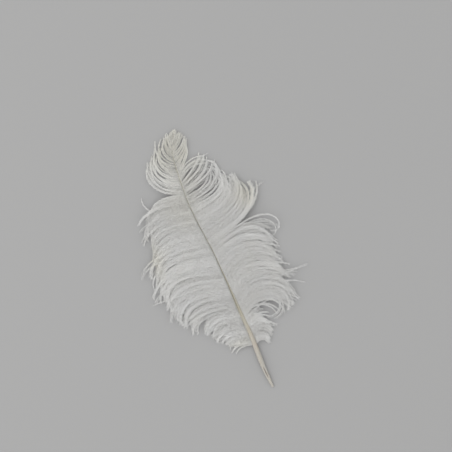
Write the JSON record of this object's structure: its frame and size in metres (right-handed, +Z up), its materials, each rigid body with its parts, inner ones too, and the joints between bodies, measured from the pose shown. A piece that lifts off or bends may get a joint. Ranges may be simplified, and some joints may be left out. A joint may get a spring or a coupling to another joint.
{
  "type": "ostrich feather",
  "caption": "White ostrich plume lying flat: a bare split quill that narrows into a slender shaft, with loose drooping barbs gathered in soft locks on both sides.",
  "frame": {"origin": "under the middle of the plume, on the surface that it lies on", "axes": "+Y along the shaft from the quill to the plume's tip, +X to the right with the tip pointing away, +Z up"},
  "size_m": [0.1649, 0.2896, 0.0115],
  "materials": {
    "barbs": "matte",
    "shaft": "satin"
  },
  "bodies": {
    "root": {"feather": "barbs"}
  },
  "joints": []
}
